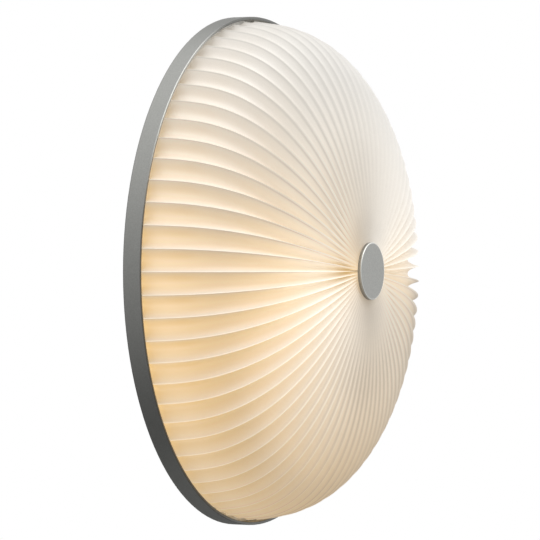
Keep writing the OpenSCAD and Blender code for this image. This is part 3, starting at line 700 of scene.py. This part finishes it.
def paint_foil(piece):
    """Writes three attributes: through_light, crease_painted_shade, and foil_place, which runs with the
    folds.
    """
    angle, w, side = (values[None, :] for values in pleat_columns())
    both = np.concatenate([stations, stations[::-1]])
    r = np.repeat(both[:, :1], column_total, 1)
    light = foil_light(r, angle, w, side)
    # The crease's dark line, as painted shade that darkens the foil's colour.
    tone = np.repeat((1 - crease_dark * crease_line(r, angle, w, side))[..., None], 3, -1)
    across = np.broadcast_to(angle * ridge_r, r.shape)
    place = np.stack([round_start + across, along_squeeze * r, 0 * r], -1)
    for name, values in (("through_light", light), ("crease_painted_shade", tone), ("foil_place", place)):
        colour_attribute(piece.data, name, values)
    return light.mean((0, 1))


print("mean light", np.round(paint_foil(foil), 3))


# %% [markdown]
# The foil's own colour is a nearly neutral off-white with a fine fibre, and the creases darken it with
# painted shade. Pressed folds leave faint streaks that run from the band to the cap, so a second noise
# reads foil_place and moves the light by a few hundredths.


# %% Foil material
def lit_foil():
    tone = (0.66, 0.655, 0.64)
    finish = Finish("lit_foil", tone, 0.55)
    fibre = finish.noise(0.9 * MM, detail=3.0)
    fibres = finish.shades(fibre, tone, 0.97, 1.03)
    # The fibre's colour is multiplied by the painted shade of the creases.
    finish.colour(finish.blend(1.0, fibres, finish.painted("crease_painted_shade"), "MULTIPLY"))
    finish.bump(fibre, 0.03 * MM, 0.2)
    streak = finish.noise(1.6 * MM, place=finish.painted("foil_place", "Vector"))
    streaks = finish.ramp(streak, (0.3, (0.95, 0.95, 0.95)), (0.7, (1.0, 1.0, 1.0)))
    finish.set("Emission Color", finish.blend(1.0, finish.painted("through_light"), streaks, "MULTIPLY"))
    finish.set("Emission Strength", 1.0)
    return finish.material


finishes["pleated_foil"] = lit_foil()
finish_piece(foil, "pleated_shade")

# %% [markdown]
# The finishes of the parts behind the dome, one function each. White enamel is sprayed on steel and
# baked, so it is glossy over a faint orange peel. Zinc plate is a bright grey that mottles where it
# grew in grains, with a trace of yellow from its last bath.


# %% Enamel and zinc
def white_enamel():
    tone = (0.80, 0.80, 0.78)
    finish = Finish("white_enamel", tone, 0.3)
    finish.set("Coat Weight", 0.25)
    finish.set("Coat Roughness", 0.12)
    cloud = finish.noise(24 * MM, detail=3.0)
    finish.colour(finish.shades(cloud, tone, 0.95, 1.02, 0.35, 0.65))
    finish.roughness(finish.remap(finish.noise(6 * MM), 0.26, 0.38))
    finish.bump(finish.noise(1.6 * MM), 0.04 * MM, 0.4)
    return finish.material


def zinc_plate():
    finish = Finish("zinc_plate", (0.66, 0.66, 0.66), 0.36, metallic=1.0)
    grains = finish.node("TexVoronoi", {"Vector": finish.place(), "Scale": 1 / (2.4 * MM)})
    mottled = finish.ramp(grains.outputs["Distance"], (0.1, (0.60, 0.61, 0.63)), (0.8, (0.71, 0.70, 0.67)))
    finish.colour(mottled)
    finish.roughness(finish.remap(finish.noise(3 * MM, detail=3.0), 0.26, 0.46))
    finish.bump(finish.noise(0.5 * MM, detail=3.0), 0.02 * MM, 0.35)
    return finish.material


# %% [markdown]
# Brass darkens where air reaches it, so a slow noise takes it towards brown and makes it rougher
# there. The bulbs' caps are nickel plated and drawn, with fine rings round them, which come from a
# noise stretched along the other two directions.


# %% Brass and nickel
def tarnished_brass():
    bright, dull = (0.72, 0.52, 0.22), (0.50, 0.35, 0.15)
    finish = Finish("tarnished_brass", bright, 0.3, metallic=1.0)
    tarnish = finish.noise(5 * MM, detail=4.0)
    finish.colour(finish.ramp(tarnish, (0.4, bright), (0.7, dull)))
    finish.roughness(finish.remap(tarnish, 0.22, 0.45))
    finish.bump(finish.noise(0.4 * MM), 0.01 * MM, 0.4)
    return finish.material


def drawn_nickel():
    tone = (0.66, 0.63, 0.58)
    finish = Finish("drawn_nickel", tone, 0.28, metallic=1.0)
    rings = finish.noise(0.5 * MM, stretch=(1.0, 0.04, 0.04))
    finish.colour(finish.shades(rings, tone, 0.88, 1.06))
    finish.roughness(finish.remap(rings, 0.22, 0.38))
    finish.bump(rings, 0.01 * MM, 0.4)
    return finish.material


# %% [markdown]
# The insulators: moulded white plastic with a soft gloss, black rubber that is matt and slightly
# grained, and the black glass in the end of a bulb's cap, which is smooth and very dark.


# %% Plastic, rubber and black glass
def moulded_plastic():
    tone = (0.82, 0.81, 0.77)
    finish = Finish("moulded_plastic", tone, 0.38)
    flow = finish.noise(9 * MM, detail=3.0)
    finish.colour(finish.shades(flow, tone, 0.95, 1.01, 0.35))
    finish.roughness(finish.remap(flow, 0.32, 0.46))
    finish.bump(finish.noise(0.6 * MM), 0.02 * MM, 0.3)
    return finish.material


def black_rubber():
    tone = (0.03, 0.03, 0.032)
    finish = Finish("black_rubber", tone, 0.7)
    grain = finish.noise(0.8 * MM, detail=3.0)
    finish.colour(finish.shades(grain, tone, 0.7, 1.6))
    finish.bump(grain, 0.06 * MM, 0.6)
    return finish.material


def black_glass():
    tone = (0.02, 0.02, 0.022)
    finish = Finish("black_glass", tone, 0.12)
    streak = finish.noise(3 * MM)
    finish.colour(finish.shades(streak, tone, 1.0, 2.0))
    finish.roughness(finish.remap(streak, 0.08, 0.2))
    return finish.material


# %% [markdown]
# Wire insulation is a soft plastic, drawn through a die, so it is smooth with only a faint grain. The
# earth wire is green with a yellow stripe that turns slowly round it. The stripe follows the wire, so
# it reads an attribute of the wire's mesh, and not a place in space.


# %% Wire insulation
def insulation(name, tone, stripe=None):
    finish = Finish(name, tone, 0.4)
    drawn = finish.noise(0.7 * MM)
    shaded = finish.shades(drawn, tone, 0.85, 1.12)
    if stripe:
        edge = finish.share(finish.painted("round_the_wire", "Fac"), 0.47, 0.53)
        shaded = finish.blend(edge, shaded, (*stripe, 1.0))
    finish.colour(shaded)
    finish.bump(drawn, 0.01 * MM, 0.3)
    return finish.material


# %% [markdown]
# The bulbs are lit behind frosted glass. The acid-etched inside spreads the light, so the globe is
# brightest near its tip and falls off towards the neck.


# %% Frosted glass
full_glow, least_glow = 45 * MM, 98 * MM


def frosted_glass():
    """The glow falls with the distance from the dome's middle along X, from full_glow to least_glow."""
    finish = Finish("frosted_glass", (0.78, 0.765, 0.73), 0.35)
    x, _, _ = finish.axes(finish.place())
    toward_neck = finish.share(finish.maths("ABSOLUTE", x), full_glow, least_glow)
    glows = ((0.0, (0.50, 0.40, 0.27)), (0.5, (0.40, 0.31, 0.19)), (1.0, (0.20, 0.14, 0.07)))
    finish.set("Emission Color", finish.ramp(toward_neck, *glows))
    finish.set("Emission Strength", 1.0)
    etched = finish.noise(0.5 * MM, detail=3.0)
    finish.roughness(finish.remap(etched, 0.3, 0.5))
    finish.bump(etched, 0.02 * MM, 0.3)
    return finish.material


# %% [markdown]
# The other slots of the record get their finishes. The wires share one kind in three colours.

# %% Finish of each slot
finishes |= {
    "white_steel": white_enamel(),
    "zinc_steel": zinc_plate(),
    "brass": tarnished_brass(),
    "white_plastic": moulded_plastic(),
    "rubber": black_rubber(),
    "brown_wire": insulation("brown_insulation", (0.16, 0.06, 0.025)),
    "blue_wire": insulation("blue_insulation", (0.03, 0.12, 0.42)),
    "green_wire": insulation("earth_insulation", (0.05, 0.30, 0.06), stripe=(0.75, 0.62, 0.04)),
    "frosted_glass": frosted_glass(),
    "nickel_cap": drawn_nickel(),
    "black_insulator": black_glass(),
}
print("slots", sorted(finishes))

# %% [markdown]
# The wires run from the terminal block to the back of each lampholder. Each is a tube along a smooth
# curve through given points, in millimetres: X across, then up, then out from the lamps' axis. The
# curve between two points is a cubic whose slopes come from their neighbours. The rings of the tube
# are laid out from across_hint, a direction that no wire runs along.


# %% Wires
lamp_axis = -0.5 * sum(span("bulb_glass_right", 1))
wire_r = 1 * MM
spans_per_point = 6
wire_sides = 14
stripe_turn = 40 * MM
across_hint = (0.13, -1, 0.21)
pole_step = 11
wire_end = (63.7, -37.8)
live_right = [
    (140, -1.3, 0), (158, -1.3, 0), (170, 0.4, -3), (179, 6.4, -13), (181, 14.4, -25),
    (176, 24.4, -36), (164, 34.2, -41.5), (145, 43, -42.5), (118, 49, -42.5), (80, 52, -42.5),
    (40, 52, -42.5), (10, 51, -42.5), (-2, 51.5, -42), (-8.5, 55.5, -39.5), (1.2 - pole_step, *wire_end),
]
neutral_right = [
    (140, 1.3, 0), (158, 1.3, 0), (171, 3, -2.4), (181, 8.6, -12.4), (183.4, 16.4, -24.6),
    (178.4, 27, -35.4), (165.6, 37.4, -41), (145, 46, -42.5), (118, 52, -42.5), (80, 55, -42.5),
    (45, 55.5, -42.5), (25, 55, -42), (15, 57, -39.5), (pole_step + 1.2, *wire_end),
]
live_left = [(-x, up, out) for x, up, out in neutral_right]
neutral_left = [(-x, up, out) for x, up, out in live_right[:9]] + [
    (-80, 50.5, -42.5), (-40, 49, -42.5), (-10, 47.5, -41.5), (2, 47.5, -39), (8, 50.5, -37.5),
    (9.8, 57, -37.4), (pole_step - 1.2, *wire_end),
]
earth_route = [
    (0, 80.3, -37.8), (-1, 86, -37.8), (-5, 90, -39), (-12, 90, -41), (-17, 86.2, -42),
    (-21, 84.2, -42), (-24.8, 84, -42),
]


def smooth_route(points):
    """Cubic through the points: half of 2b + (c-a)t + (2a-5b+4c-d)t2 + (3b-a-3c+d)t3 from b to c."""
    p = np.asarray(points, float) * MM
    b, c = p[:-1, None], p[1:, None]
    a = np.concatenate([p[:1], p[:-2]])[:, None]
    d = np.concatenate([p[2:], p[-1:]])[:, None]
    t = (np.arange(spans_per_point) / spans_per_point)[None, :, None]
    cubic = 2 * b + (c - a) * t + (2 * a - 5 * b + 4 * c - d) * t**2 + (3 * b - a - 3 * c + d) * t**3
    x, up, out = np.concatenate([0.5 * cubic.reshape(-1, 3), p[-1:]]).T
    return np.stack([x, -(out + lamp_axis), up], -1)


def unit_rows(v):
    """Each vector divided by its own length."""
    return v / np.linalg.norm(v, axis=-1, keepdims=True)


def swept_wire(points):
    """Rings of radius wire_r square to the route, closed by one point at each end.

    Around is the stripe's wave: a raised cosine of the turn, which goes once round in stripe_turn."""
    route = smooth_route(points)
    along = unit_rows(np.gradient(route, axis=0))
    side = unit_rows(np.cross(along, across_hint))
    up = np.cross(side, along)
    turn = 2 * math.pi * np.arange(wire_sides) / wire_sides
    ring = np.cos(turn)[:, None] * side[:, None] + np.sin(turn)[:, None] * up[:, None]
    rings = route[:, None] + wire_r * ring
    ends = [np.repeat(route[k][None, None], wire_sides, 1) for k in (0, -1)]
    length = np.concatenate([[0], np.cumsum(np.linalg.norm(np.diff(route, axis=0), axis=1))])
    length = np.concatenate([length[:1], length, length[-1:]])
    around = 0.5 + 0.5 * np.cos(turn[None, :] + 2 * math.pi * length[:, None] / stripe_turn)
    return np.concatenate([ends[0], rings, ends[1]]), around


def wire_piece(node, *routes):
    """All wires of one node in one mesh, with round_the_wire from 0 to 1 across each."""
    tubes, turns, quads, start = [], [], [], 0
    for points in routes:
        tube, around = swept_wire(points)
        quads.append(grid_faces(*tube.shape[:2], wrap_columns=True) + start)
        tubes.append(tube.reshape(-1, 3))
        turns.append(around.ravel())
        start += len(tubes[-1])
    piece = mesh_object(node + "_drawn", np.concatenate(tubes), np.concatenate(quads))
    attribute = piece.data.attributes.new("round_the_wire", "FLOAT", "POINT")
    attribute.data.foreach_set("value", np.concatenate(turns).astype(np.float32))
    finish_piece(weld(piece), node)


wire_piece("live_wires", live_right, live_left)
wire_piece("neutral_wires", neutral_right, neutral_left)
wire_piece("earth_wire", earth_route)

# %% [markdown]
# A bulb is a blown globe that runs into a neck. Its outline is an arc, and then half a cosine wave
# down to the neck's radius, turned round the lamp's axis. The glass has an outer and an inner skin,
# so the profile goes out along one and back along the other.


# %% Bulbs
bulb_tip_x, bulb_end_x = span("bulb_glass_right", 0)
bulb_r = 0.5 * (span("bulb_glass_right", 2)[1] - span("bulb_glass_right", 2)[0])
neck_r = 14 * MM
neck_l = 5 * MM
glass_t = 1 * MM
globe_turn = math.radians(100)
globe_rows, neck_rows = 34, 24
lamp_columns = 72


def bulb_outline(shrink):
    """Radius and distance along the axis: an arc over globe_turn, then a half cosine to the neck."""
    r, neck = bulb_r - shrink, neck_r - shrink
    middle = bulb_tip_x + bulb_r
    turn = np.linspace(0, globe_turn, globe_rows)
    t = np.linspace(0, 1, neck_rows + 1)[1:]
    start_r, start_x = r * math.sin(globe_turn), middle - r * math.cos(globe_turn)
    waist_r = neck + (start_r - neck) * (1 + np.cos(math.pi * t)) / 2
    waist_x = start_x + (bulb_end_x - neck_l - start_x) * t
    radius = np.concatenate([r * np.sin(turn), waist_r, [neck]])
    return radius, np.concatenate([middle - r * np.cos(turn), waist_x, [bulb_end_x]])


def round_lamp_axis(radius, x, turn, side):
    """Points round a lamp's axis: side is 1 for the right lamp and -1 for the left one."""
    radius, x, turn = np.broadcast_arrays(radius, x, turn)
    return np.stack([side * x, radius * np.cos(turn) - lamp_axis, radius * np.sin(turn)], -1)


lamp_turn = (2 * math.pi * np.arange(lamp_columns) / lamp_columns)[None, :]


def bulb_glass(name, side):
    """The outline turned round the lamp's axis, with the inner skin back from the neck to the tip."""
    outer, inner = bulb_outline(0), bulb_outline(glass_t)
    radius, x = (np.concatenate([out, back[::-1]])[:, None] for out, back in zip(outer, inner))
    points = round_lamp_axis(radius, x, lamp_turn, side)
    piece = grid_object(f"blown_glass_{name}", points, wrap_columns=True)
    finish_piece(weld(piece), f"bulb_glass_{name}")


# %% [markdown]
# The bulb's cap is a thin shell with a thread rolled into it. The thread is a cosine wave along the
# axis whose phase also turns once round the cap for each pitch, and that makes it a helix. The wave
# fades in and out at its two ends, and a smooth collar grips the glass.


# %% Bulb caps
thread_r = 13.2 * MM
thread_depth = 0.9 * MM
thread_pitch = 3.62 * MM
thread_start = bulb_end_x + 3 * MM
thread_end = span("bulb_cap_right", 0)[1]
collar_r = span("bulb_cap_right", 2)[1]
collar_start = span("bulb_cap_right", 0)[0]
collar_edge = 0.3 * MM
collar_gap = 1.4 * MM
glass_gap = 0.05 * MM
inner_start = bulb_end_x + 0.2 * MM
shell_in_r = 11.7 * MM
fade_length = 0.6 * thread_pitch
rows_per_pitch = 12


def bulb_cap(name, side):
    """One closed profile turned round the axis: the collar, the thread, and the inside of the shell.

    The wave is half of one less the cosine of the run in pitches less the turn. Both threads are
    right-handed, so the left cap's turn counts the other way."""
    rows = int(rows_per_pitch * (thread_end - thread_start) / thread_pitch)
    run = np.linspace(0, thread_end - thread_start, rows)[:, None]
    fade = np.clip(np.minimum(run, run[::-1]) / fade_length, 0, 1)
    wave = (1 - np.cos(2 * math.pi * run / thread_pitch - side * lamp_turn)) / 2
    thread = thread_r - thread_depth * (1 - fade * (1 - wave))
    collar_end = thread_start - collar_gap
    collar = np.array([
        (neck_r + glass_gap, collar_start), (collar_r - collar_edge, collar_start),
        (collar_r, collar_start + collar_edge), (collar_r, collar_end - collar_edge),
        (collar_r - collar_edge, collar_end),
    ])
    inside = np.array([
        (shell_in_r, thread_end), (shell_in_r, inner_start), (neck_r + glass_gap, inner_start),
    ])
    before, after = (round_lamp_axis(part[:, :1], part[:, 1:], lamp_turn, side) for part in (collar, inside))
    rolled = round_lamp_axis(thread, thread_start + run, lamp_turn, side)
    points = np.concatenate([before, rolled, after])
    piece = grid_object(f"rolled_cap_{name}", points, wrap_rows=True, wrap_columns=True)
    finish_piece(weld(piece), f"bulb_cap_{name}")


for name, side in (("right", 1), ("left", -1)):
    bulb_glass(name, side)
    bulb_cap(name, side)

# %% [markdown]
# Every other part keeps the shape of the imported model: the band, the cap, the pressed pan, brackets,
# holders, screws and nuts. A pressed or turned edge is never quite sharp, so each part is a copy with
# its doubled points merged, its flat facets joined and its edges rounded by a bevel, a small share of
# the part's least size. Weighted normals then keep the flats flat.


# %% Rounded copies
edge_share = 0.03
least_edge, widest_edge = 0.06 * MM, 0.35 * MM
flat_within = math.radians(0.5)
edge_from = math.radians(30)


def rounded_copy(node):
    """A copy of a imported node, welded and with its edges rounded."""
    bm = bmesh.new()
    bm.from_mesh(nodes[node].data)
    bmesh.ops.remove_doubles(bm, verts=bm.verts, dist=weld_gap)
    bmesh.ops.dissolve_limit(bm, angle_limit=flat_within, verts=bm.verts, edges=bm.edges)
    mesh = bpy.data.meshes.new(node + "_rounded")
    bm.to_mesh(mesh)
    bm.free()
    piece = smooth_object(mesh)
    thickness = min(high - low for low, high in (span(node, axis) for axis in range(3)))
    bevel = piece.modifiers.new("rounded_edges", "BEVEL")
    bevel.width = min(max(edge_share * thickness, least_edge), widest_edge)
    bevel.segments = 2
    bevel.limit_method = "ANGLE"
    bevel.angle_limit = edge_from
    shading = piece.modifiers.new("even_shading", "WEIGHTED_NORMAL")
    shading.weight = 50
    return piece


for node in sorted(set(nodes) - finished):
    finish_piece(rounded_copy(node), node)

# %% [markdown]
# The stage starts with the world, which is white to the camera and through glass. All else is lit
# softly from above, as by an overcast sky. Metal mirrors a studio in place of the white, because
# satin aluminium only looks like metal where it has something dark and something bright to mirror.
# The studio's left side is dim and its right side bright, each brighter with height, and it is dim
# again past the wall, at the far right behind the light.


# %% Sky helper
class Sky(NodeTree):
    """The nodes of a new world, with greys that follow the height of the direction."""

    def __init__(self, name):
        world = bpy.data.worlds.new(name)
        scene.world = world
        world.use_nodes = True
        super().__init__(world.node_tree)
        self.tree.nodes.clear()
        self.x, self.y, self.z = self.axes(self.node("TexCoord").outputs["Generated"])
        self.height = self.maths("MULTIPLY_ADD", self.z, 0.5, 0.5)

    def background(self, colour, strength=1.0):
        """A plain or patterned background."""
        return self.node("Background", {"Color": colour, "Strength": strength}).outputs[0]

    def greys(self, strength, *stops):
        """Each stop is (height, grey), from -1 straight down to 1 straight up, and greys end at strength."""
        scaled = ((0.5 + 0.5 * height, (grey / strength,) * 3) for height, grey in stops)
        return self.background(self.ramp(self.height, *scaled), strength)

    def either(self, factor, first, second):
        """One shader where the factor is 0 and the other where it is 1."""
        return self.node("MixShader", {0: factor, 1: first, 2: second}).outputs[0]


# %% [markdown]
# Each blend of the studio runs between two values of the direction's X, across the light, or of its
# Y, which is positive towards the wall and past it.


# %% World
studio_strength = 1.4
left_to_right, far_right, past_wall = (-0.2, 0.5), (0.4, 0.75), (0.0, 0.3)


def studio(sky):
    """The left side blends into the right side, and both turn dim where it is far right and past the wall."""
    left = ((-1, 0.02), (-0.75, 0.16), (-0.4, 0.40), (0, 0.56), (0.3, 0.76), (0.9, 1.35))
    right = ((-1, 0.14), (-0.35, 0.5), (-0.05, 1.1), (0.9, 1.4))
    sides = (sky.greys(studio_strength, *stops) for stops in (left, right))
    walls = sky.either(sky.share(sky.x, *left_to_right), *sides)
    corner = sky.maths("MULTIPLY", sky.share(sky.x, *far_right), sky.share(sky.y, *past_wall))
    return sky.either(corner, walls, sky.greys(1.0, (-1, 0.1), (0, 0.25), (1, 0.35)))


def soft_world():
    """Overcast greys, the studio for glossy rays, and white for camera and transmission rays."""
    sky = Sky("soft_world")
    overcast = sky.greys(1.0, (-1, 0.05), (-0.3, 0.12), (0, 0.35), (0.4, 0.75), (1, 1.0))
    path = sky.node("LightPath")
    lit = sky.either(path.outputs["Is Glossy Ray"], overcast, studio(sky))
    seen = sky.maths("MAXIMUM", path.outputs["Is Camera Ray"], path.outputs["Is Transmission Ray"])
    shown = sky.either(seen, lit, sky.background((1, 1, 1, 1)))
    sky.node("OutputWorld", {"Surface": shown})
    return len(sky.tree.nodes)


print("world nodes", soft_world())

# %% [markdown]
# Two square lamps give the shapes their shade, a weaker one overhead and a stronger one in front, to
# the right. They are wide, so that no shadow has a hard edge.

# %% Lamps
lamp_side = 1.2


def soft_lamp(name, place, watts):
    """A square area lamp that looks at the light."""
    data = bpy.data.lights.new(name, "AREA")
    data.shape = "SQUARE"
    data.size = lamp_side
    data.energy = watts
    aimed_object(data, place, target - Vector(place))
    print(name, watts, "W")


soft_lamp("overhead_lamp", (-0.3, -0.7, 1.5), 7.6)
soft_lamp("front_lamp", (0.71, -1.67, 1.24), 21)

# %% [markdown]
# The floor is a plain pale square, so far down that the underside of the band mirrors the studio and
# not its edge. The standard view transform shows each colour as it is written.

# %% Floor
floor_half = 1.0
floor_below = 4.0


def pale_floor():
    """Four corners at plus and minus floor_half, floor_below under the middle of the light."""
    x, y = np.meshgrid((-floor_half, floor_half), (-floor_half, floor_half))
    corners = np.stack([x, y, np.full_like(x, -floor_below)], -1)
    floor = grid_object("floor", corners)
    finish = Finish("floor_paint", (0.8, 0.8, 0.79), 0.8)
    speck = finish.noise(30 * MM)
    finish.colour(finish.ramp(speck, (0.3, (0.78, 0.78, 0.77)), (0.7, (0.82, 0.82, 0.81))))
    floor.data.materials.append(finish.material)


pale_floor()
scene.view_settings.view_transform = "Standard"
print("floor", floor_below, "m down, view", scene.view_settings.view_transform)
